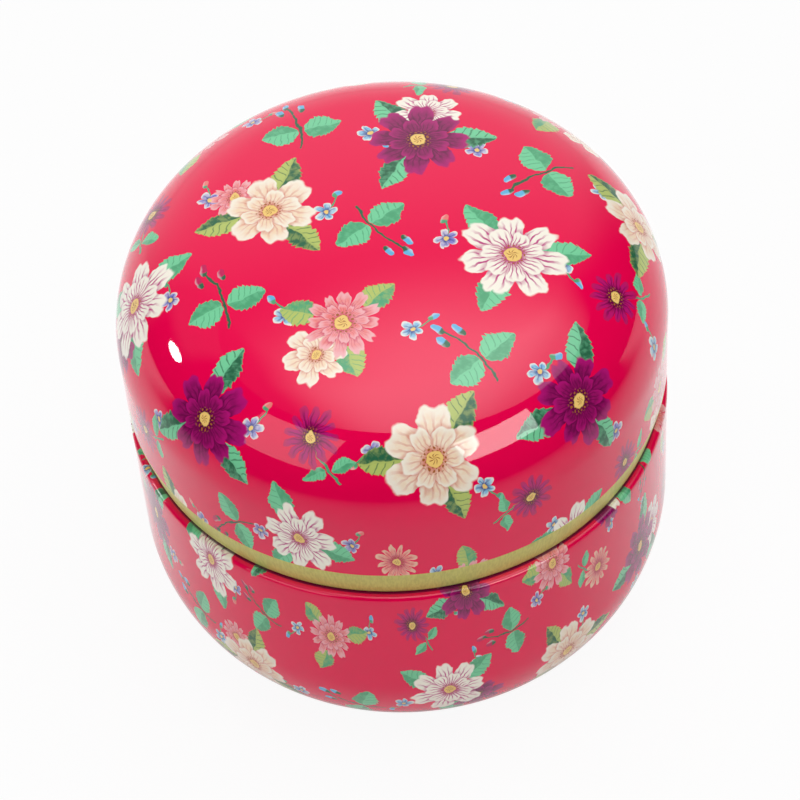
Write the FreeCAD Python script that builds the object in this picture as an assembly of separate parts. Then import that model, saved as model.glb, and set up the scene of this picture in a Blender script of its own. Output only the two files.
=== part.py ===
"""Round tea caddy: a seamless drawn tin with a slip lid.

Each half is one sheet of tinplate, drawn to shape. Its section is a row of bends joined by straight
runs. The same row is laid once along the outer face and once a gauge deeper, and the strip between
the two lines is turned about the tin's axis.

Millimetres. +Z is up, and the origin is the middle of the plane that the tin stands on.
"""
import math
import os
from collections import namedtuple

import FreeCAD
import Part

# Sheet metal
GAUGE = 0.25

# Lid, measured on its outer face
LID_RADIUS = 32.5
LID_WALL_HEIGHT = 8.35
LID_CORNER_RADIUS = 13.6
DOME_RADIUS = 130.0

# The lid's rim leans in below the wall, and ends in a rolled edge
RIM_LEAN = 13.0
RIM_BEND_RADIUS = 3.0
RIM_RUN = 3.55
LID_CURL_RADIUS = 0.45

# Base, measured on its outer face
BASE_WALL_HEIGHT = 16.7
BASE_CORNER_RADIUS = 18.8
SHOULDER_RADIUS = 0.6
NECK_FILLET_RADIUS = 0.3
MOUTH_CURL_RADIUS = 0.9

# Bottom: a flat ring to stand on, and a panel pressed up inside it
STANDING_RING_WIDTH = 1.8
PANEL_RECESS = 0.8
PANEL_BEND_RADIUS = 1.0

# Fit of the lid on the base
SEAT_GAP = 0.1
NECK_CLEARANCE = 0.15
NECK_HEADROOM = 3.25
BASE_OVERHANG = 0.05

# A rolled rim goes three quarters of the way round
CURL_TURN = 270

# Worked out from the sizes above
BASE_RADIUS = LID_RADIUS + BASE_OVERHANG
SHOULDER_HEIGHT = BASE_CORNER_RADIUS + BASE_WALL_HEIGHT + SHOULDER_RADIUS
LID_EDGE_HEIGHT = SHOULDER_HEIGHT + SEAT_GAP
LEAN = math.radians(RIM_LEAN)
RIM_TURN_IN = RIM_RUN * math.sin(LEAN) + (RIM_BEND_RADIUS - LID_CURL_RADIUS) * (1 - math.cos(LEAN))
RIM_DROP = RIM_RUN * math.cos(LEAN) + (RIM_BEND_RADIUS - LID_CURL_RADIUS) * math.sin(LEAN)
LID_CURL_AXIS = LID_RADIUS - RIM_TURN_IN - LID_CURL_RADIUS
RIM_BEND_HEIGHT = LID_EDGE_HEIGHT + LID_CURL_RADIUS + RIM_DROP
LID_CORNER_HEIGHT = RIM_BEND_HEIGHT + LID_WALL_HEIGHT
NECK_RADIUS = LID_CURL_AXIS - LID_CURL_RADIUS - NECK_CLEARANCE
MOUTH_HEIGHT = LID_CORNER_HEIGHT - NECK_HEADROOM

# A bend of the sheet: angles run from +X towards +Z, and depth is +1 where the metal lies on the
# far side of the outer face from the centre, and -1 where it lies on the centre's side
Bend = namedtuple("Bend", "centre radius start end depth")


def at(radius, height):
    """A point of the half section: its distance from the axis, and its height."""
    return FreeCAD.Vector(radius, 0, height)


def on_bend(bend, inset, degrees):
    angle = math.radians(degrees)
    radius = bend.radius + bend.depth * inset
    return bend.centre + at(radius * math.cos(angle), radius * math.sin(angle))


def sheet_line(start, bends, inset):
    """The edges that the sheet follows at one depth, from the axis to the rim's raw edge."""
    edges = []
    here = start + at(0, inset)
    for bend in bends:
        angles = (bend.start, (bend.start + bend.end) / 2, bend.end)
        first, middle, last = (on_bend(bend, inset, angle) for angle in angles)
        if not first.isEqual(here, GAUGE / 1000):
            edges.append(Part.LineSegment(here, first).toShape())
        edges.append(Part.Arc(first, middle, last).toShape())
        here = last
    return edges, here


def turned_sheet(start, bends, up):
    """One drawn piece. up is +1 where the sheet lies above the outer face on the axis, or -1."""
    outer, outer_end = sheet_line(start, bends, 0)
    inner_start = start + at(0, (up - 1) * GAUGE)
    inner, inner_end = sheet_line(inner_start, bends, GAUGE)
    raw_edge = Part.LineSegment(outer_end, inner_end).toShape()
    on_axis = Part.LineSegment(start, start + at(0, up * GAUGE)).toShape()
    section = Part.Face(Part.Wire(Part.__sortEdges__([on_axis, *outer, raw_edge, *inner])))
    return section.revolve(FreeCAD.Vector(), at(0, 1), 360)


def lid():
    """Domed top, rounded corner, straight wall and a leaning rim with a rolled edge."""
    corner = at(LID_RADIUS - LID_CORNER_RADIUS, LID_CORNER_HEIGHT)
    dome_rise = math.sqrt((DOME_RADIUS - LID_CORNER_RADIUS) ** 2 - corner.x ** 2)
    dome = at(0, corner.z - dome_rise)
    dome_end = math.degrees(math.atan2(dome_rise, corner.x))
    rim_bend = at(LID_RADIUS - RIM_BEND_RADIUS, RIM_BEND_HEIGHT)
    curl = at(LID_CURL_AXIS, LID_EDGE_HEIGHT + LID_CURL_RADIUS)
    return turned_sheet(dome + at(0, DOME_RADIUS), [
        Bend(dome, DOME_RADIUS, 90, dome_end, -1),
        Bend(corner, LID_CORNER_RADIUS, dome_end, 0, -1),
        Bend(rim_bend, RIM_BEND_RADIUS, 0, -RIM_LEAN, -1),
        Bend(curl, LID_CURL_RADIUS, -RIM_LEAN, -RIM_LEAN - CURL_TURN, -1),
    ], -1)


def base():
    """Recessed panel, standing ring, rounded corner, wall, shoulder, neck and rolled mouth."""
    corner = at(BASE_RADIUS - BASE_CORNER_RADIUS, BASE_CORNER_RADIUS)
    bend = PANEL_BEND_RADIUS
    slope = math.degrees(math.acos(1 - PANEL_RECESS / (2 * bend)))
    ring_bend = at(corner.x - STANDING_RING_WIDTH, bend)
    panel_bend = ring_bend - at(2 * bend * math.sin(math.radians(slope)), 2 * bend - PANEL_RECESS)
    shoulder = at(BASE_RADIUS - SHOULDER_RADIUS, SHOULDER_HEIGHT - SHOULDER_RADIUS)
    fillet = at(NECK_RADIUS + NECK_FILLET_RADIUS, SHOULDER_HEIGHT + NECK_FILLET_RADIUS)
    curl = at(NECK_RADIUS - MOUTH_CURL_RADIUS, MOUTH_HEIGHT - MOUTH_CURL_RADIUS)
    return turned_sheet(at(0, PANEL_RECESS), [
        Bend(panel_bend, bend, 90, 90 - slope, 1),
        Bend(ring_bend, bend, 270 - slope, 270, -1),
        Bend(corner, BASE_CORNER_RADIUS, -90, 0, -1),
        Bend(shoulder, SHOULDER_RADIUS, 0, 90, -1),
        Bend(fillet, NECK_FILLET_RADIUS, 270, 180, 1),
        Bend(curl, MOUTH_CURL_RADIUS, 0, CURL_TURN, -1),
    ], 1)


os.makedirs("parts", exist_ok=True)
for name, piece in (("base", base()), ("lid", lid())):
    piece.exportStep(f"parts/{name}.step")
    box = piece.optimalBoundingBox()
    print(f"{name}: {piece.ShapeType}, valid {piece.isValid()}, {piece.Volume:.1f} mm3,"
          f" {box.XLength:.2f} mm across, height {box.ZMin:.2f} to {box.ZMax:.2f}")
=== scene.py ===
# %% [markdown]
# # A printed tea tin with a slip lid
# The tin is two drawn pieces of tinplate: a base with a shoulder and a neck, and a domed lid whose
# gold rim leans in to a rolled edge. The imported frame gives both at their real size. This script
# turns finer shells in the same places, prints a scattered floral on them, and lights them as in a
# studio.

# %% Load the frame
import math

import bpy
import numpy as np
from mathutils import Matrix, Vector


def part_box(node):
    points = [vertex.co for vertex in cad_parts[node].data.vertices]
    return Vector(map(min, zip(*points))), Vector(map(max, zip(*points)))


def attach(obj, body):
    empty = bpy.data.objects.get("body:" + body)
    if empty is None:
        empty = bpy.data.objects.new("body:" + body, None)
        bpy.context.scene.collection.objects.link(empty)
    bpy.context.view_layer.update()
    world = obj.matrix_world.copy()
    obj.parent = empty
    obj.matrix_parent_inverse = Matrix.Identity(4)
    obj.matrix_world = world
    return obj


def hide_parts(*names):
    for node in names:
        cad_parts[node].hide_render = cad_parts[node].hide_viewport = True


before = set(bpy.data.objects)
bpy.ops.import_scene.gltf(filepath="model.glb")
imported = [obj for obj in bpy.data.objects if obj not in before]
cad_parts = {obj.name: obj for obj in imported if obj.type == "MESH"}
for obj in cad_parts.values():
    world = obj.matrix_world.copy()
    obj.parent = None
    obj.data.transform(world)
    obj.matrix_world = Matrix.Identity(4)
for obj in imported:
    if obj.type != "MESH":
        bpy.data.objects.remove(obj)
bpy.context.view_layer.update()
bpy.ops.object.select_all(action="DESELECT")

# %% [markdown]
# ## The sizes of the tin
# Both pieces are turned shapes, so a few radii and heights say everything. The outer radius and the
# heights are read from the frame's boxes. The bends are the real ones of the sheet: a large corner,
# a rolled rim, a shoulder. Everything is in metres.

# %% Sizes
MM = 0.001
GAUGE = 0.25 * MM
lid_low, lid_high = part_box("lid")
base_low, base_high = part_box("base")
LID_RADIUS = round((lid_high[0] - lid_low[0]) / 2, 5)
BASE_RADIUS = round((base_high[0] - base_low[0]) / 2, 5)
LID_EDGE = lid_low[2]
MOUTH = base_high[2]
LID_CORNER = 13.6 * MM
DOME = 130 * MM
LID_WALL = 8.35 * MM
RIM_LEAN = 13
RIM_BEND = 3 * MM
RIM_RUN = 3.55 * MM
LID_CURL = 0.45 * MM
BASE_CORNER = 18.8 * MM
SHOULDER = 0.6 * MM
SEAT_GAP = 0.1 * MM
SHOULDER_HEIGHT = LID_EDGE - SEAT_GAP
NECK_FILLET = 0.3 * MM
NECK_CLEARANCE = 0.15 * MM
MOUTH_CURL = 0.9 * MM
RING_WIDTH = 1.8 * MM
PANEL_RECESS = 0.8 * MM
PANEL_BEND = 1 * MM
CURL_TURN = 270
TURN_STEPS = 192

# The lid's rim leans in below the wall, so its rolled edge and the neck lie further in
lean = math.radians(RIM_LEAN)
turn_in = RIM_RUN * math.sin(lean) + (RIM_BEND - LID_CURL) * (1 - math.cos(lean))
drop = RIM_RUN * math.cos(lean) + (RIM_BEND - LID_CURL) * math.sin(lean)
CURL_AXIS = LID_RADIUS - turn_in - LID_CURL
RIM_HEIGHT = LID_EDGE + LID_CURL + drop
NECK_RADIUS = CURL_AXIS - LID_CURL - NECK_CLEARANCE
print(f"lid radius {LID_RADIUS / MM:.2f} mm, edge at {LID_EDGE / MM:.2f} mm,",
      f"mouth at {MOUTH / MM:.2f} mm")


# %% [markdown]
# ## Turning a sheet
# A drawn tin is a wheel shape, so the way to make it by hand is to draw half a section and spin it.
# The section is a row of bends. One vertex starts on the axis and is extruded from point to point
# along them, the row is spun about the axis, its doubles are merged, and a Solidify modifier gives
# the sheet its gauge on the inside. Solidify can also give the inner wall its own material slot.

# %% Section helpers
def bend(centre, radius, start, end, steps):
    """Points on an arc of the half section. Angles run from outwards to upwards, in degrees."""
    angles = [math.radians(start + (end - start) * i / steps) for i in range(steps + 1)]
    return [(centre[0] + radius * math.cos(a), centre[1] + radius * math.sin(a)) for a in angles]


def straight(start, end, steps):
    """Points between two ends, without the ends, so that a long wall has even faces."""
    return [tuple(s + (e - s) * i / steps for s, e in zip(start, end)) for i in range(1, steps)]


def without_doubles(points):
    kept = [points[0]]
    for point in points[1:]:
        if math.dist(point, kept[-1]) > 1e-6:
            kept.append(point)
    return kept


def lid_section():
    """The lid's outer face, from the top of the dome to the rolled rim's raw edge."""
    corner = (LID_RADIUS - LID_CORNER, RIM_HEIGHT + LID_WALL)
    rise = math.sqrt((DOME - LID_CORNER) ** 2 - corner[0] ** 2)
    dome = (0, corner[1] - rise)
    dome_end = math.degrees(math.atan2(rise, corner[0]))
    curl = (CURL_AXIS, LID_EDGE + LID_CURL)
    crown = bend(dome, DOME, 90, dome_end, 16) + bend(corner, LID_CORNER, dome_end, 0, 30)
    turned_in = bend((LID_RADIUS - RIM_BEND, RIM_HEIGHT), RIM_BEND, 0, -RIM_LEAN, 6)
    rolled = bend(curl, LID_CURL, -RIM_LEAN, -RIM_LEAN - CURL_TURN, 18)
    wall = straight(crown[-1], turned_in[0], 8) + turned_in + straight(turned_in[-1], rolled[0], 5)
    return without_doubles(crown + wall + rolled)


def base_section():
    """The base's outer face, from the middle of the bottom panel to the mouth's raw edge."""
    corner = (BASE_RADIUS - BASE_CORNER, BASE_CORNER)
    slope = math.degrees(math.acos(1 - PANEL_RECESS / (2 * PANEL_BEND)))
    ring = (corner[0] - RING_WIDTH, PANEL_BEND)
    panel = (ring[0] - 2 * PANEL_BEND * math.sin(math.radians(slope)), PANEL_RECESS - PANEL_BEND)
    shoulder = (BASE_RADIUS - SHOULDER, SHOULDER_HEIGHT - SHOULDER)
    fillet = (NECK_RADIUS + NECK_FILLET, SHOULDER_HEIGHT + NECK_FILLET)
    curl = (NECK_RADIUS - MOUTH_CURL, MOUTH - MOUTH_CURL)
    middle = (0, PANEL_RECESS)
    panel_edge = (panel[0], PANEL_RECESS)
    bottom = [middle] + straight(middle, panel_edge, 6) + bend(panel, PANEL_BEND, 90, 90 - slope, 6)
    foot = bend(ring, PANEL_BEND, 270 - slope, 270, 6) + bend(corner, BASE_CORNER, -90, 0, 34)
    wall = straight((BASE_RADIUS, BASE_CORNER), (BASE_RADIUS, shoulder[1]), 12)
    step = bend(shoulder, SHOULDER, 0, 90, 10) + bend(fillet, NECK_FILLET, 270, 180, 8)
    neck = straight(step[-1], (NECK_RADIUS, curl[1]), 6)
    return without_doubles(bottom + foot + wall + step + neck + bend(curl, MOUTH_CURL, 0, CURL_TURN, 20))


sections = {"lid": lid_section(), "base": base_section()}
print({name: f"{len(points)} points" for name, points in sections.items()})


# %% Spin the sections
def spin_section(name, points):
    """Extrudes one vertex along the section and spins the row about the tin's axis."""
    bpy.ops.mesh.primitive_plane_add(size=MM, location=(0, 0, points[0][1]))
    shell = bpy.context.object
    shell.name = name
    bpy.ops.object.transform_apply(location=True)
    bpy.ops.object.mode_set(mode="EDIT")
    bpy.ops.mesh.select_all(action="SELECT")
    bpy.ops.mesh.merge(type="CENTER")
    for here, there in zip(points, points[1:]):
        step = (there[0] - here[0], 0, there[1] - here[1])
        bpy.ops.mesh.extrude_region_move(TRANSFORM_OT_translate={"value": step})
    bpy.ops.mesh.select_all(action="SELECT")
    bpy.ops.mesh.spin(steps=TURN_STEPS, angle=math.tau, center=(0, 0, 0), axis=(0, 0, 1))
    bpy.ops.mesh.select_all(action="SELECT")
    bpy.ops.mesh.remove_doubles(threshold=1e-6)
    bpy.ops.mesh.normals_make_consistent(inside=False)
    bpy.ops.object.mode_set(mode="OBJECT")
    bpy.ops.object.shade_smooth()
    return shell


shells = {name: spin_section(f"{name}_shell", points) for name, points in sections.items()}
for name, shell in shells.items():
    print(shell.name, len(shell.data.vertices), "vertices,", len(shell.data.polygons), "faces")


# %% [markdown]
# ## Laying the printed sheet on the shells
# The print is put on the flat disc before the tin is drawn, so a flower on the wall is narrower than
# the same flower on the top. A UV map that holds the flat disc does just that: the distance along
# the section from the middle gives the distance from the disc's middle, and the angle stays the
# same. It is written in millimetres, so that the print's sizes are real ones. The base gets its disc
# from another place of the sheet, so the two pieces show different flowers.

# %% Flat sheet map and thickness
SHEET_MAP = "flat_sheet"
SHEET_MIDDLE = {"lid": (0.0, 0.0), "base": (310.0, 170.0)}


def lay_sheet(shell, points, middle):
    """Writes the flat disc's coordinates on a spun shell."""
    section = np.array(points)
    run = np.concatenate([[0], np.cumsum(np.hypot(*np.diff(section, axis=0).T))]) / MM
    places = np.empty(len(shell.data.vertices) * 3)
    shell.data.vertices.foreach_get("co", places)
    places = places.reshape(-1, 3)
    turned = np.stack([np.hypot(places[:, 0], places[:, 1]), places[:, 2]], 1)
    nearest = np.abs(turned[:, None] - section[None]).sum(2).argmin(1)
    angle = np.arctan2(places[:, 1], places[:, 0])
    flat = run[nearest][:, None] * np.stack([np.cos(angle), np.sin(angle)], 1) + middle
    corners = np.empty(len(shell.data.loops), dtype=int)
    shell.data.loops.foreach_get("vertex_index", corners)
    layer = shell.data.uv_layers.new(name=SHEET_MAP)
    layer.uv.foreach_set("vector", flat[corners].ravel())
    return run[-1]


def thicken(shell, inner_slot):
    """Gives the sheet its gauge on the inside. The inner wall takes the slots after the outer ones."""
    bpy.ops.object.select_all(action="DESELECT")
    shell.select_set(True)
    bpy.context.view_layer.objects.active = shell
    wall = shell.modifiers.new("gauge", "SOLIDIFY")
    wall.thickness = GAUGE
    wall.offset = -1
    wall.use_even_offset = True
    wall.material_offset = inner_slot
    wall.material_offset_rim = inner_slot
    bpy.ops.object.modifier_apply(modifier=wall.name)


for name, shell in shells.items():
    reach = lay_sheet(shell, sections[name], SHEET_MIDDLE[name])
    print(f"{shell.name}: flat disc of {2 * reach:.1f} mm")


# %% [markdown]
# ## Drawing with shader nodes
# The print is drawn by maths nodes, which stay sharp at any distance and need no picture. Node
# trees are long to write out, so a small class stands for "a number the shader works out": adding or
# multiplying two of them makes the Math node. Each helper below is one thing a painter does: soften
# an edge, pick a colour from a palette, lay a colour over another through a mask, or leave the uneven
# strokes of a brush.

# %% Node helpers
class Ink:
    """A number that the shader works out, written like arithmetic."""

    tree = None

    def __init__(self, socket):
        self.socket = socket

    def __add__(self, other):
        return sums("ADD", self, other)

    def __radd__(self, other):
        return sums("ADD", other, self)

    def __sub__(self, other):
        return sums("SUBTRACT", self, other)

    def __rsub__(self, other):
        return sums("SUBTRACT", other, self)

    def __mul__(self, other):
        return sums("MULTIPLY", self, other)

    def __rmul__(self, other):
        return sums("MULTIPLY", other, self)

    def __truediv__(self, other):
        return sums("DIVIDE", self, other)

    def __pow__(self, other):
        return sums("POWER", self, other)


def join(value, socket):
    """Links a worked-out value to a socket, or writes a plain one on it."""
    if isinstance(value, Ink):
        Ink.tree.links.new(value.socket, socket)
    else:
        socket.default_value = value


def sums(operation, *values):
    node = Ink.tree.nodes.new("ShaderNodeMath")
    node.operation = operation
    for value, socket in zip(values, node.inputs):
        join(value, socket)
    return Ink(node.outputs[0])


def soft_step(value, nothing, full):
    """0 up to one limit and 1 from the other, with a smooth change between."""
    node = Ink.tree.nodes.new("ShaderNodeMapRange")
    node.interpolation_type = "SMOOTHSTEP"
    for given, name in ((value, "Value"), (nothing, "From Min"), (full, "From Max")):
        join(given, node.inputs[name])
    return Ink(node.outputs["Result"])


def lay(under, mask, over):
    """One colour laid over another through a mask."""
    node = Ink.tree.nodes.new("ShaderNodeMix")
    node.data_type = "RGBA"
    join(mask, node.inputs[0])
    join(under, node.inputs[6])
    join(over, node.inputs[7])
    return Ink(node.outputs[2])


def palette(chance, colours):
    """One of the colours, by a random number between 0 and 1."""
    node = Ink.tree.nodes.new("ShaderNodeValToRGB")
    ramp = node.color_ramp
    ramp.interpolation = "CONSTANT"
    while len(ramp.elements) < len(colours):
        ramp.elements.new(1)
    for i, colour in enumerate(colours):
        ramp.elements[i].position = i / len(colours)
        ramp.elements[i].color = colour
    join(chance, node.inputs["Fac"])
    return Ink(node.outputs["Color"])


def pick(chance, numbers):
    """One of the numbers, by a random number between 0 and 1."""
    most = max(numbers)
    return palette(chance, [(n / most, n / most, n / most, 1) for n in numbers]) * most


def dice(x, y, seed):
    """Three random numbers that belong to a whole-number place."""
    place = Ink.tree.nodes.new("ShaderNodeCombineXYZ")
    for value, socket in zip((x, y, seed), place.inputs):
        join(value, socket)
    noise = Ink.tree.nodes.new("ShaderNodeTexWhiteNoise")
    noise.noise_dimensions = "3D"
    Ink.tree.links.new(place.outputs[0], noise.inputs["Vector"])
    parts = Ink.tree.nodes.new("ShaderNodeSeparateColor")
    Ink.tree.links.new(noise.outputs["Color"], parts.inputs[0])
    return [Ink(socket) for socket in parts.outputs]


def noise(vector, scale, detail=2.0, stretch=(1, 1, 1)):
    """A noise pattern's value on a vector, stretched along the axes."""
    mapping = Ink.tree.nodes.new("ShaderNodeMapping")
    mapping.inputs["Scale"].default_value = stretch
    Ink.tree.links.new(vector, mapping.inputs["Vector"])
    texture = Ink.tree.nodes.new("ShaderNodeTexNoise")
    texture.inputs["Scale"].default_value = scale
    texture.inputs["Detail"].default_value = detail
    Ink.tree.links.new(mapping.outputs["Vector"], texture.inputs["Vector"])
    return texture


def object_place():
    return Ink.tree.nodes.new("ShaderNodeTexCoord").outputs["Object"]


def axes(place):
    """The three coordinates of a place, as numbers."""
    parts = Ink.tree.nodes.new("ShaderNodeSeparateXYZ")
    Ink.tree.links.new(place, parts.inputs[0])
    return [Ink(socket) for socket in parts.outputs]


def sheet_place():
    """The place on the flat sheet, in millimetres."""
    sheet = Ink.tree.nodes.new("ShaderNodeUVMap")
    sheet.uv_map = SHEET_MAP
    return sheet.outputs["UV"]


def brush(scale):
    """Uneven strokes of a painter's brush, from 0 to 1."""
    return soft_step(Ink(noise(sheet_place(), scale, 2.0).outputs["Fac"]), 0.38, 0.68)


def paint(red, green, blue):
    """A paint's colour, given as on a screen from 0 to 255, as the light that it sends back."""
    shares = [value / 255 for value in (red, green, blue)]
    return tuple(s / 12.92 if s < 0.04045 else ((s + 0.055) / 1.055) ** 2.4 for s in shares) + (1.0,)


print("a middle grey of 128 sends back", round(paint(128, 128, 128)[0], 3), "of the light")

# %% [markdown]
# ## Scattering motifs
# A scattered print looks free but is laid out on a grid, so that no two motifs collide. Each square
# of the grid rolls its own dice: they move the motif a little, turn it, and choose its colours. A
# motif then only has to be drawn once, in the middle of its own square. Three grids share the
# sheet: large flowers, sprays in the gaps between four of them, and small flowers in between.

# %% Scatter grids
PITCH = 20.5
GRID_TURN = math.radians(24)


def turned(x, y, angle):
    """A place seen from axes turned by an angle."""
    cosine = sums("COSINE", angle) if isinstance(angle, Ink) else math.cos(angle)
    sine = sums("SINE", angle) if isinstance(angle, Ink) else math.sin(angle)
    return x * cosine + y * sine, y * cosine - x * sine


class Spot:
    """The place as seen from a motif's middle, and the dice of the motif's square."""

    def __init__(self, x, y, rolled):
        self.x, self.y, self.dice = x, y, rolled
        self.radius = sums("SQRT", x * x + y * y)
        self.angle = sums("ARCTAN2", y, x)


class Site(Spot):
    """A motif's own square of a grid."""

    def __init__(self, x, y, pitch, turn, shift, wander, seed):
        x, y = turned(x, y, turn)
        column, row = x / pitch + shift[0], y / pitch + shift[1]
        whole_column, whole_row = sums("FLOOR", column), sums("FLOOR", row)
        rolled = dice(whole_column, whole_row, seed)
        across = (column - whole_column - 0.5) * pitch + (rolled[0] - 0.5) * wander
        up = (row - whole_row - 0.5) * pitch + (rolled[1] - 0.5) * wander
        super().__init__(*turned(across, up, rolled[2] * math.tau), rolled)
        self.more_dice = dice(whole_column, whole_row, seed + 7)
        self.turn = sums("FRACT", (whole_column + whole_row * 2 + 400) / 4 + 0.01)


print(f"large motifs stand {PITCH} mm apart, on a grid turned by {math.degrees(GRID_TURN):.0f} degrees")

# %% [markdown]
# ## The motifs
# Every petal and leaf is one outline in polar coordinates: the angle is folded into equal sectors,
# and the outline says how far out the edge lies across a sector. Where a point lies between the
# middle and that edge then drives the paint: a dark throat, a pale rim, fine veins along the petal
# and a shadow where two petals meet. That is how a print painter builds a flower up, too.

# %% Petals and leaves
EDGE_BLUR = 0.035


def sector(angle, count):
    """Folds the angle into sectors: -0.5 to 0.5 across each, and the sector's number."""
    place = angle * (count / math.tau) + count
    number = sums("FLOOR", place)
    return place - number - 0.5, number


def petals(site, count, radius, waist, dent, turn=0.0):
    """A ring of petals: the mask, how far out a point lies, how far across, and the petal's die."""
    across, number = sector(site.angle + turn, count)
    die = dice(number, site.dice[0] * 97, 3)[0]
    aside = sums("ABSOLUTE", across) * 2
    outline = 1 - waist * aside ** 2.6 - dent * soft_step(aside, 0.34, 0.0)
    edge = outline * radius * (0.88 + die * 0.17)
    out = site.radius / edge
    return soft_step(out, 1 + EDGE_BLUR, 1 - EDGE_BLUR), out, across, die


def petal_paint(out, across, die, throat, body, rim, veins, streaks=0.55):
    """Throat to rim along the petal, with veins and a shadow between petals."""
    tone = lay(body, die * 0.3 + brush(1.4) * 0.3, rim)
    colour = lay(throat, soft_step(out, 0.2, 0.62), tone)
    colour = lay(colour, soft_step(out, 0.72, 0.98) * 0.75, rim)
    wave = sums("SINE", across * veins + die * 9)
    streak = soft_step(wave, 0.3, 0.9) * soft_step(out, 0.15, 0.35) * soft_step(out, 0.98, 0.6)
    colour = lay(colour, streak * streaks, throat)
    aside = sums("ABSOLUTE", across)
    return lay(colour, soft_step(aside, 0.36, 0.5) * 0.6, throat)


def eye(colour, spot, radius, heart, seeds):
    """A flower's eye: a round heart with a ring of small seed dots about it."""
    out = spot.radius / radius
    dots = sums("COSINE", spot.angle * 13) * sums("SINE", out * 8.5)
    colour = lay(colour, soft_step(out, 1.75, 1.45) * soft_step(dots, 0.15, 0.45), seeds)
    colour = lay(colour, soft_step(out, 1.0, 0.86), heart)
    grain = sums("COSINE", spot.angle * 7 + out * 11)
    return lay(colour, soft_step(out, 0.7, 0.4) * soft_step(grain, 0, 1), seeds)


def leaves(colour, x, y, count, start, end, width, dark, light):
    """Toothed leaves round a middle, each with a midrib, side veins and one paler half."""
    radius = sums("SQRT", x * x + y * y)
    across, number = sector(sums("ARCTAN2", y, x), count)
    off_axis = across * (math.tau / count)
    along = (radius * sums("COSINE", off_axis) - start) / (end - start)
    aside = radius * sums("SINE", off_axis)
    depth = sums("ABSOLUTE", aside)
    inside = soft_step(along, 0.0, 0.03) * soft_step(along, 1.0, 0.97)
    teeth = sums("FRACT", along * 8 - depth * 0.5) * 0.16
    belly = sums("SINE", sums("MINIMUM", sums("MAXIMUM", along, 0.001), 0.999) ** 0.8 * math.pi)
    half = belly ** 0.85 * width * (1 - teeth)
    mask = inside * soft_step(depth, half + 0.05, half - 0.07)
    green = lay(dark, soft_step(aside, -0.25, 0.25), light)
    side_vein = sums("ABSOLUTE", sums("FRACT", along * 6 - depth * (1.1 / width)) - 0.5)
    green = lay(green, brush(1.1) * 0.4, light)
    green = lay(green, soft_step(side_vein, 0.14, 0.02) * 0.7, dark)
    green = lay(green, soft_step(depth, 0.16, 0.05) * 0.8, light)
    green = lay(green, soft_step(depth, half - 0.3, half) * 0.5, light)
    return lay(colour, mask, green)


def stem(colour, x, y, start, end, bow, thickness, green):
    """A thin bowed stalk along x."""
    middle = x * x * bow
    inside = soft_step(x, start, start + 0.1) * soft_step(x, end, end - 0.1)
    mask = inside * soft_step(sums("ABSOLUTE", y - middle), thickness + 0.05, thickness - 0.05)
    return lay(colour, mask, green)


def bud(colour, x, y, place, length, width, tip, calyx):
    """A closed bud: an oval with a coloured tip and a green cup."""
    along, aside = (x - place[0]) / length, (y - place[1]) / width
    round_off = along * along + aside * aside
    mask = soft_step(round_off, 1.0, 0.82)
    paint_along = lay(calyx, soft_step(along, -0.3, -0.1), tip)
    pale = soft_step(aside, 0.1, 0.8) * 0.35
    return lay(colour, mask, lay(paint_along, pale, paint(255, 240, 240)))


print(f"a petal's edge fades over {2 * EDGE_BLUR:.2f} of its length")

# %% [markdown]
# ## The three layers of the print
# The large flowers are open blooms with a second ring of petals, with leaves behind them and at times
# a smaller bloom. The sprays are thin-petalled daisies on a stalk, or a leafy twig with buds. The
# small ones are five-petalled flowers a few millimetres across. The palette is plum, cream, coral and
# blue on red, with mint and moss leaves.

# %% Print layers
RED = paint(239, 3, 77)
PLUM, WINE, BERRY = paint(130, 18, 86), paint(80, 8, 56), paint(188, 24, 122)
CREAM, BLUSH, SHELL = paint(246, 216, 184), paint(214, 120, 104), paint(252, 246, 232)
CORAL, ROSE, PINK = paint(240, 126, 122), paint(200, 30, 92), paint(246, 190, 196)
SKY, LILAC, NAVY = paint(104, 184, 226), paint(132, 124, 208), paint(52, 66, 146)
MOSS, MINT = paint(46, 104, 74), paint(122, 210, 160)
FERN, LIME = paint(84, 168, 122), paint(186, 200, 110)
YELLOW, OCHRE = paint(244, 206, 120), paint(170, 96, 44)


def bloom(colour, spot, kind, scale):
    """An open flower of one of four kinds: plum, coral, streaked white or cream."""
    throat = palette(kind, [WINE, ROSE, BERRY, BLUSH])
    body = palette(kind, [PLUM, CORAL, SHELL, CREAM])
    rim = palette(kind, [BERRY, PINK, SHELL, SHELL])
    count = pick(kind, (8, 12, 7, 6))
    radius = pick(kind, (6.4, 4.7, 6.7, 6.1)) * scale
    streaks = pick(kind, (0.5, 0.4, 0.95, 0.45))
    outer, out, across, die = petals(spot, count, radius, 0.46, 0.08)
    colour = lay(colour, outer, petal_paint(out, across, die, throat, body, rim, 30, streaks))
    inner, out, across, die = petals(spot, count, radius * 0.62, 0.42, 0.06, 0.4)
    colour = lay(colour, soft_step(out, 1.22, 1.0) * outer * 0.5, throat)
    colour = lay(colour, inner, petal_paint(out, across, die, throat, body, rim, 26, streaks))
    return eye(colour, spot, 0.95 * scale, YELLOW, OCHRE)


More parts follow.
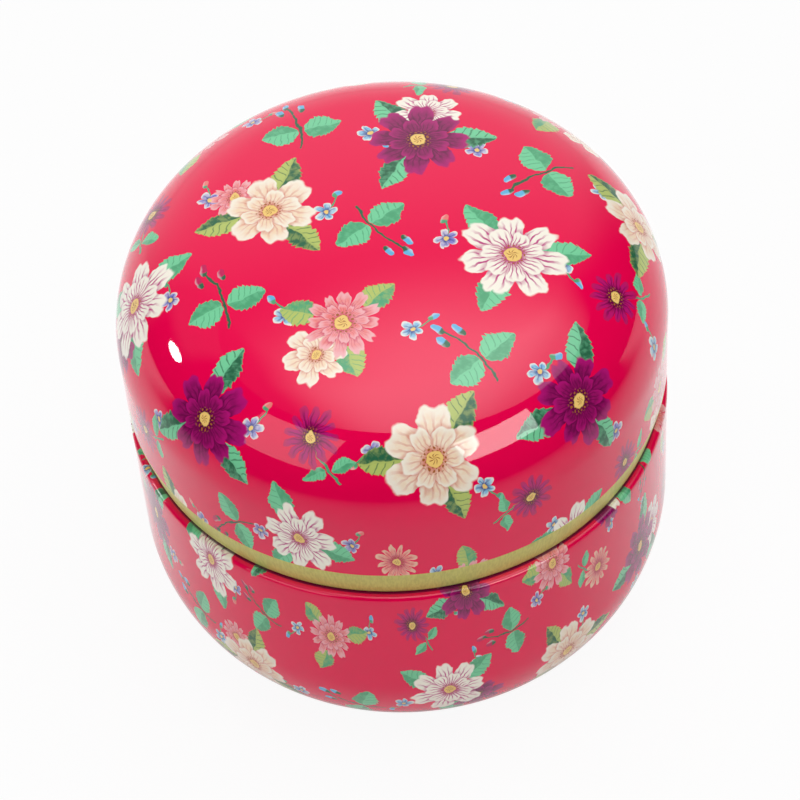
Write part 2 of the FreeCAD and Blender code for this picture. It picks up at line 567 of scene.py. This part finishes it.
def large_flowers(colour, x, y):
    """The four kinds of bloom take turns. Some have a smaller one of another kind behind them."""
    site = Site(x, y, PITCH, GRID_TURN, (0.0, 0.0), 2.2, 1)
    kind = site.turn
    dark_leaf = palette(kind, [MOSS, FERN, FERN, MOSS])
    pale_leaf = palette(kind, [MINT, LIME, MINT, LIME])
    reach = pick(kind, (9.4, 7.6, 9.2, 9.0))
    colour = leaves(colour, site.x, site.y, 3, 3.2, reach, 1.9, dark_leaf, pale_leaf)
    behind = Spot(site.x - 5.0, site.y - 1.2, site.dice)
    second = bloom(colour, behind, sums("FRACT", kind + 0.5), 0.66)
    colour = lay(colour, soft_step(site.more_dice[2], 0.5, 0.51), second)
    return bloom(colour, site, kind, 0.9 + site.more_dice[1] * 0.14)


def daisies(colour, site, kind):
    """A thin-petalled daisy on a bowed stalk with a pair of leaves."""
    colour = stem(colour, site.x, site.y, 0.0, 6.2, 0.045, 0.15, FERN)
    colour = leaves(colour, site.x - 4.2, site.y - 0.8, 2, 0.3, 3.4, 0.95, FERN, MINT)
    throat = palette(kind, [WINE, ROSE])
    body = palette(kind, [BERRY, CORAL])
    rim = palette(kind, [ROSE, CREAM])
    mask, out, across, die = petals(site, 13, 3.5, 0.5, 0.0)
    colour = lay(colour, mask, petal_paint(out, across, die, throat, body, rim, 12))
    return eye(colour, site, 0.72, YELLOW, OCHRE)


def twigs(colour, site, kind):
    """A twig with toothed leaves and blue or rosy buds."""
    colour = stem(colour, site.x, site.y, -4.6, 4.6, 0.03, 0.14, MOSS)
    colour = leaves(colour, site.x + 1.2, site.y, 2, 0.2, 4.9, 2.0, FERN, MINT)
    tip = palette(kind, [SKY, ROSE])
    for place in ((4.9, 0.75), (3.4, 1.7), (3.3, -0.9)):
        colour = bud(colour, site.x, site.y, place, 0.95, 0.5, tip, MOSS)
    return colour


def sprays(colour, x, y):
    site = Site(x, y, PITCH, GRID_TURN, (0.5, 0.5), 2.4, 2)
    kind, choice = site.more_dice[0], site.more_dice[1]
    daisy, twig = daisies(colour, site, kind), twigs(colour, site, kind)
    return lay(daisy, soft_step(choice, 0.52, 0.53), twig)


def small_flowers(colour, x, y):
    site = Site(x, y, PITCH / math.sqrt(2), GRID_TURN + math.pi / 4, (0.5, 0.0), 1.6, 4)
    kind = site.more_dice[0]
    colour = stem(colour, site.x, site.y, 0.0, 2.6, 0.12, 0.11, FERN)
    colour = bud(colour, site.x, site.y, (2.8, 0.95), 0.75, 0.42, palette(kind, [SKY, CORAL]), FERN)
    mask, out, across, die = petals(site, 5, 1.5, 0.55, 0.0)
    body = palette(kind, [SKY, LILAC])
    colour = lay(colour, mask, petal_paint(out, across, die, NAVY, body, SHELL, 10))
    return lay(colour, soft_step(site.radius, 0.36, 0.28), YELLOW)


LAYERS = (small_flowers, sprays, large_flowers)
print("layers of the print:", [layer.__name__ for layer in LAYERS])

# %% [markdown]
# ## The finishes
# The printed outside is ink on tinplate under a gloss varnish: a coloured base with a clear, nearly
# smooth coat, and a faint unevenness left by the drawing. On the base's ledge, under the lid's edge,
# a ring of painted shade in dark wine stands in for the shadow there. The margin that the printer
# leaves free shows the gold lacquer, with fine upright draw marks. The inside is bright bare tin.

# %% Printed outside
HAND_WOBBLE = 1.1
WAVE_DEPTH = 0.1 * MM


def new_finish(name):
    """A material with an empty Principled shader, which the node helpers then draw in."""
    finish = bpy.data.materials.new(name)
    finish.use_nodes = True
    Ink.tree = finish.node_tree
    return finish, finish.node_tree.nodes["Principled BSDF"]


def bump(height, distance, strength, shader):
    node = Ink.tree.nodes.new("ShaderNodeBump")
    node.inputs["Strength"].default_value = strength
    node.inputs["Distance"].default_value = distance
    join(height, node.inputs["Height"])
    Ink.tree.links.new(node.outputs["Normal"], shader.inputs["Normal"])
    return node


def painted_seat_shade():
    """Painted shade: a dark ring on the shoulder's ledge under the lid's edge, where its shadow falls.
    """
    x, y, z = axes(object_place())
    out = sums("SQRT", x * x + y * y)
    edge = CURL_AXIS + LID_CURL
    on_ledge = soft_step(z, SHOULDER_HEIGHT - 0.2 * MM, SHOULDER_HEIGHT - 0.05 * MM)
    under_rim = soft_step(out, edge + 0.2 * MM, edge)
    below_neck = soft_step(z, MOUTH, SHOULDER_HEIGHT + MM)
    return on_ledge * under_rim * below_neck


def printed_finish():
    finish, shader = new_finish("printed_tinplate")
    sheet_x, sheet_y, _ = axes(sheet_place())
    hand_x, hand_y, _ = axes(noise(sheet_place(), 0.55).outputs["Color"])
    x = sheet_x + (hand_x - 0.5) * HAND_WOBBLE
    y = sheet_y + (hand_y - 0.5) * HAND_WOBBLE
    colour = RED
    for layer in LAYERS:
        colour = layer(colour, x, y)
    # The ring of painted shade under the lid's edge is laid in dark wine over the print.
    join(lay(colour, painted_seat_shade() * 0.85, WINE), shader.inputs["Base Color"])
    join(0.42 + brush(0.8) * 0.12, shader.inputs["Roughness"])
    shader.inputs["Specular IOR Level"].default_value = 0.0
    shader.inputs["Coat Weight"].default_value = 1.0
    shader.inputs["Coat Roughness"].default_value = 0.03
    waves = bump(Ink(noise(object_place(), 85).outputs["Fac"]), WAVE_DEPTH, 0.4, shader)
    Ink.tree.links.new(waves.outputs["Normal"], shader.inputs["Coat Normal"])
    return finish


printed = printed_finish()
print("printed finish:", len(printed.node_tree.nodes), "nodes")

# %% Gold margin and bare inside
MARK_DEPTH = 0.02 * MM


def gold_finish():
    finish, shader = new_finish("gold_lacquer")
    marks = Ink(noise(object_place(), 4200, 3, (1, 1, 0.02)).outputs["Fac"])
    colour = lay(paint(198, 192, 102), soft_step(marks, 0.3, 0.7), paint(216, 210, 120))
    join(colour, shader.inputs["Base Color"])
    shader.inputs["Metallic"].default_value = 0.35
    join(0.34 + marks * 0.2, shader.inputs["Roughness"])
    bump(marks, MARK_DEPTH, 0.35, shader)
    return finish


def tin_finish():
    finish, shader = new_finish("bright_tin")
    marks = Ink(noise(object_place(), 1500, 3, (1, 1, 0.05)).outputs["Fac"])
    join(lay(paint(200, 202, 204), marks, paint(220, 221, 222)), shader.inputs["Base Color"])
    shader.inputs["Metallic"].default_value = 0.72
    join(0.28 + marks * 0.14, shader.inputs["Roughness"])
    bump(marks, MARK_DEPTH, 0.2, shader)
    return finish


gold, tin = gold_finish(), tin_finish()
print("finishes:", [finish.name for finish in (printed, gold, tin)])

# %% [markdown]
# ## Dressing the shells
# The outer face of each shell is printed, except for the margin at its open end, which is gold. The
# faces are chosen by their height before the wall gets its thickness. Solidify then puts the inner
# wall two slots further on, where both slots hold the bare tin.

# %% Slots and thickness
MARGIN_LINE = {"lid": RIM_HEIGHT, "base": SHOULDER_HEIGHT + 0.5 * NECK_FILLET}


def in_margin(name, centre):
    """Whether a face lies in the unprinted margin at the piece's open end."""
    below = centre[2] < MARGIN_LINE[name]
    return below if name == "lid" else not below


for name, shell in shells.items():
    for finish in (printed, gold, tin, tin):
        shell.data.materials.append(finish)
    for face in shell.data.polygons:
        face.material_index = int(in_margin(name, face.center))
    thicken(shell, 2)
    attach(shell, name)
    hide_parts(name)
    print(shell.name, len(shell.data.polygons), "faces after thickening")

# %% [markdown]
# ## The studio
# A pale floor, a pale wall behind, a dark room, a soft box and four lamps. The varnish mirrors them, so
# their shapes matter as much as their strength. The oval soft box overhead is the sheen on the top, and
# its near edge the sharp line across the front of the lid. The dark room is the deep red band below that
# line, and the floor the pale bloom on the walls. A window, a small lamp and a side panel give the
# bright patches, and the window does nothing else. A fill lamp lights the walls and is never mirrored.

# %% Floor
FLOOR_SEEN = 0.93
FLOOR_MIRRORED = 0.45
FLOOR_BEHIND = 1.0
FLOOR_NEAR, FLOOR_FAR = 0.1, 0.26
FLOOR_SIZE = 4
FLOOR_DROP = 0.02 * MM


def stage_floor():
    """White for the camera. Mirrored, it is a lit table that ends in front and is paler behind."""
    bpy.ops.mesh.primitive_plane_add(size=FLOOR_SIZE, location=(0, 0, -FLOOR_DROP))
    floor = bpy.context.object
    floor.name = "floor"
    finish, shader = new_finish("pale_floor")
    shader.inputs["Base Color"].default_value = paint(236, 236, 236)
    shader.inputs["Roughness"].default_value = 0.9
    shader.inputs["Specular IOR Level"].default_value = 0.0
    x, y, _ = axes(object_place())
    far_off = soft_step(sums("SQRT", x * x + y * y), FLOOR_NEAR, FLOOR_FAR)
    off_table = far_off * soft_step(y, 0.1, -0.02)
    rays = Ink.tree.nodes.new("ShaderNodeLightPath")
    seen = Ink(rays.outputs["Is Camera Ray"])
    glossy, passed = Ink(rays.outputs["Is Glossy Ray"]), Ink(rays.outputs["Is Transmission Ray"])
    mirrored = sums("MAXIMUM", glossy, passed)
    glow = Ink.tree.nodes.new("ShaderNodeEmission")
    behind = soft_step(y, -0.05, 0.03) * FLOOR_BEHIND
    join(seen + mirrored * (1 - off_table) * (behind + FLOOR_MIRRORED), glow.inputs["Strength"])
    mixed = Ink.tree.nodes.new("ShaderNodeMixShader")
    join(seen * FLOOR_SEEN + mirrored * (0.5 + off_table * 0.5), mixed.inputs[0])
    Ink.tree.links.new(shader.outputs[0], mixed.inputs[1])
    Ink.tree.links.new(glow.outputs[0], mixed.inputs[2])
    Ink.tree.links.new(mixed.outputs[0], Ink.tree.nodes["Material Output"].inputs["Surface"])
    floor.data.materials.append(finish)
    return floor


floor = stage_floor()
print("floor:", floor.dimensions.x, "m wide")

# %% Room
DARK, PALE = (0.004, 0.004, 0.004, 1), (0.95, 0.95, 0.95, 1)
UPPER_LEFT_GLOW = 0.27


def dark_room():
    """White for the camera. Else dark, with a pale wall behind and a dim glow at the upper left."""
    world = bpy.data.worlds.new("studio")
    bpy.context.scene.world = world
    world.use_nodes = True
    Ink.tree = world.node_tree
    x, y, z = axes(Ink.tree.nodes.new("ShaderNodeTexCoord").outputs["Generated"])
    pale = soft_step(y, 0.38, 0.89) * soft_step(x, 0.82, 0.36)
    upper_left = soft_step(y, 0.1, 0.25) * soft_step(z, 0.35, 0.55) * soft_step(x, 0.1, -0.3)
    wall = lay(DARK, sums("MAXIMUM", pale, upper_left * UPPER_LEFT_GLOW), PALE)
    rays = Ink.tree.nodes.new("ShaderNodeLightPath")
    background = Ink.tree.nodes["Background"]
    join(lay(wall, Ink(rays.outputs["Is Camera Ray"]), (1, 1, 1, 1)), background.inputs["Color"])
    return world


print("room:", dark_room().name)

# %% Soft box
BOX_MIDDLE = Vector((0.17, 0.0, 0.66))
BOX_HALF_WIDTH, BOX_HALF_DEPTH = 0.68, 0.485
BOX_STRENGTH = 2.75


def soft_box():
    """An oval glowing panel, bright in the middle and dim on the left. Its back thins out to clear."""
    bpy.ops.mesh.primitive_circle_add(vertices=96, radius=1, fill_type="NGON", location=BOX_MIDDLE)
    panel = bpy.context.object
    panel.name = "soft_box"
    panel.scale = (BOX_HALF_WIDTH, BOX_HALF_DEPTH, 1)
    bpy.ops.object.transform_apply(location=False, rotation=False, scale=True)
    finish, shader = new_finish("soft_box_glow")
    x, y, _ = axes(object_place())
    off_middle = (x / BOX_HALF_WIDTH) ** 2 + (y / BOX_HALF_DEPTH) ** 2
    slant = sums("MAXIMUM", y, 0) * 0.35
    from_left = soft_step(x - slant, -0.55, -0.21) * 0.93 + 0.07
    to_right = 1 - soft_step(x, 0.0, 0.35) * 0.4
    glow = Ink.tree.nodes.new("ShaderNodeEmission")
    join((1 - off_middle * 0.35) * from_left * to_right * BOX_STRENGTH, glow.inputs["Strength"])
    clear = Ink.tree.nodes.new("ShaderNodeBsdfTransparent")
    mixed = Ink.tree.nodes.new("ShaderNodeMixShader")
    join(soft_step(sums("MAXIMUM", x, 0) * 0.4 + y, 0.5, 0.22), mixed.inputs[0])
    Ink.tree.links.new(clear.outputs[0], mixed.inputs[1])
    Ink.tree.links.new(glow.outputs[0], mixed.inputs[2])
    Ink.tree.links.new(mixed.outputs[0], Ink.tree.nodes["Material Output"].inputs["Surface"])
    Ink.tree.nodes.remove(shader)
    panel.data.materials.append(finish)
    panel.visible_camera = False
    return panel


print("soft box:", [round(side, 2) for side in soft_box().dimensions])

# %% Lamps
LAMP_DISTANCE = 1.0
TIN_MIDDLE = Vector((0, 0, 0.05))


def soft_light(name, azimuth, elevation, size, glow):
    """A rectangular lamp facing the tin. Azimuth runs from behind the tin to its right, in degrees."""
    level, rise = math.radians(azimuth), math.radians(elevation)
    way = Vector((math.cos(rise) * math.sin(level), math.cos(rise) * math.cos(level), math.sin(rise)))
    bpy.ops.object.light_add(type="AREA", location=TIN_MIDDLE + way * LAMP_DISTANCE)
    lamp = bpy.context.object
    lamp.name = name
    lamp.data.shape = "RECTANGLE"
    lamp.data.size, lamp.data.size_y = size
    lamp.data.energy = glow * math.pi * size[0] * size[1]
    lamp.rotation_euler = (-way).to_track_quat("-Z", "Y").to_euler()
    return lamp


window = soft_light("window", 143, 25, (0.5, 0.38), 6.5)
window.visible_diffuse = False
soft_light("side_panel", -135, 28, (0.54, 0.62), 1.8)
small_lamp = soft_light("small_lamp", -77, 20.5, (0.15, 0.13), 24.0)
small_lamp.data.shape = "ELLIPSE"
fill = soft_light("fill", 148, 15, (1.8, 0.5), 0.56)
fill.visible_glossy = False

# %% [markdown]
# ## The camera
# The photograph looks down at about fifty degrees through a long lens, and is tilted a little to one
# side. The camera is placed by those angles and its distance, and aims a little below the middle of the
# tin. A small shift puts the tin where it lies in the photograph's frame.

# %% Camera
ELEVATION = math.radians(50.98)
ROLL = math.radians(-4.763)
DISTANCE = 0.3938
AIM = Vector((0, 0, 0.026))
FOCAL_PIXELS = 3191.3
IMAGE_PIXELS = 800
PRINCIPAL = (401.8, 434.0)


def place_camera():
    back = Vector((0, -math.cos(ELEVATION), math.sin(ELEVATION)))
    right = Vector((1, 0, 0))
    up = back.cross(right)
    cosine, sine = math.cos(ROLL), math.sin(ROLL)
    right, up = right * cosine + up * sine, up * cosine - right * sine
    bpy.ops.object.camera_add()
    camera = bpy.context.object
    turn = Matrix((right, up, back)).transposed().to_4x4()
    camera.matrix_world = Matrix.Translation(AIM + back * DISTANCE) @ turn
    camera.data.sensor_width = 36
    camera.data.lens = FOCAL_PIXELS / IMAGE_PIXELS * camera.data.sensor_width
    camera.data.shift_x = (IMAGE_PIXELS / 2 - PRINCIPAL[0]) / IMAGE_PIXELS
    camera.data.shift_y = (PRINCIPAL[1] - IMAGE_PIXELS / 2) / IMAGE_PIXELS
    camera.data.clip_start = 0.01
    bpy.context.scene.camera = camera
    return camera


camera = place_camera()
bpy.context.scene.view_settings.view_transform = "Standard"
print("camera at", [round(v, 4) for v in camera.location], "lens", round(camera.data.lens, 1), "mm")
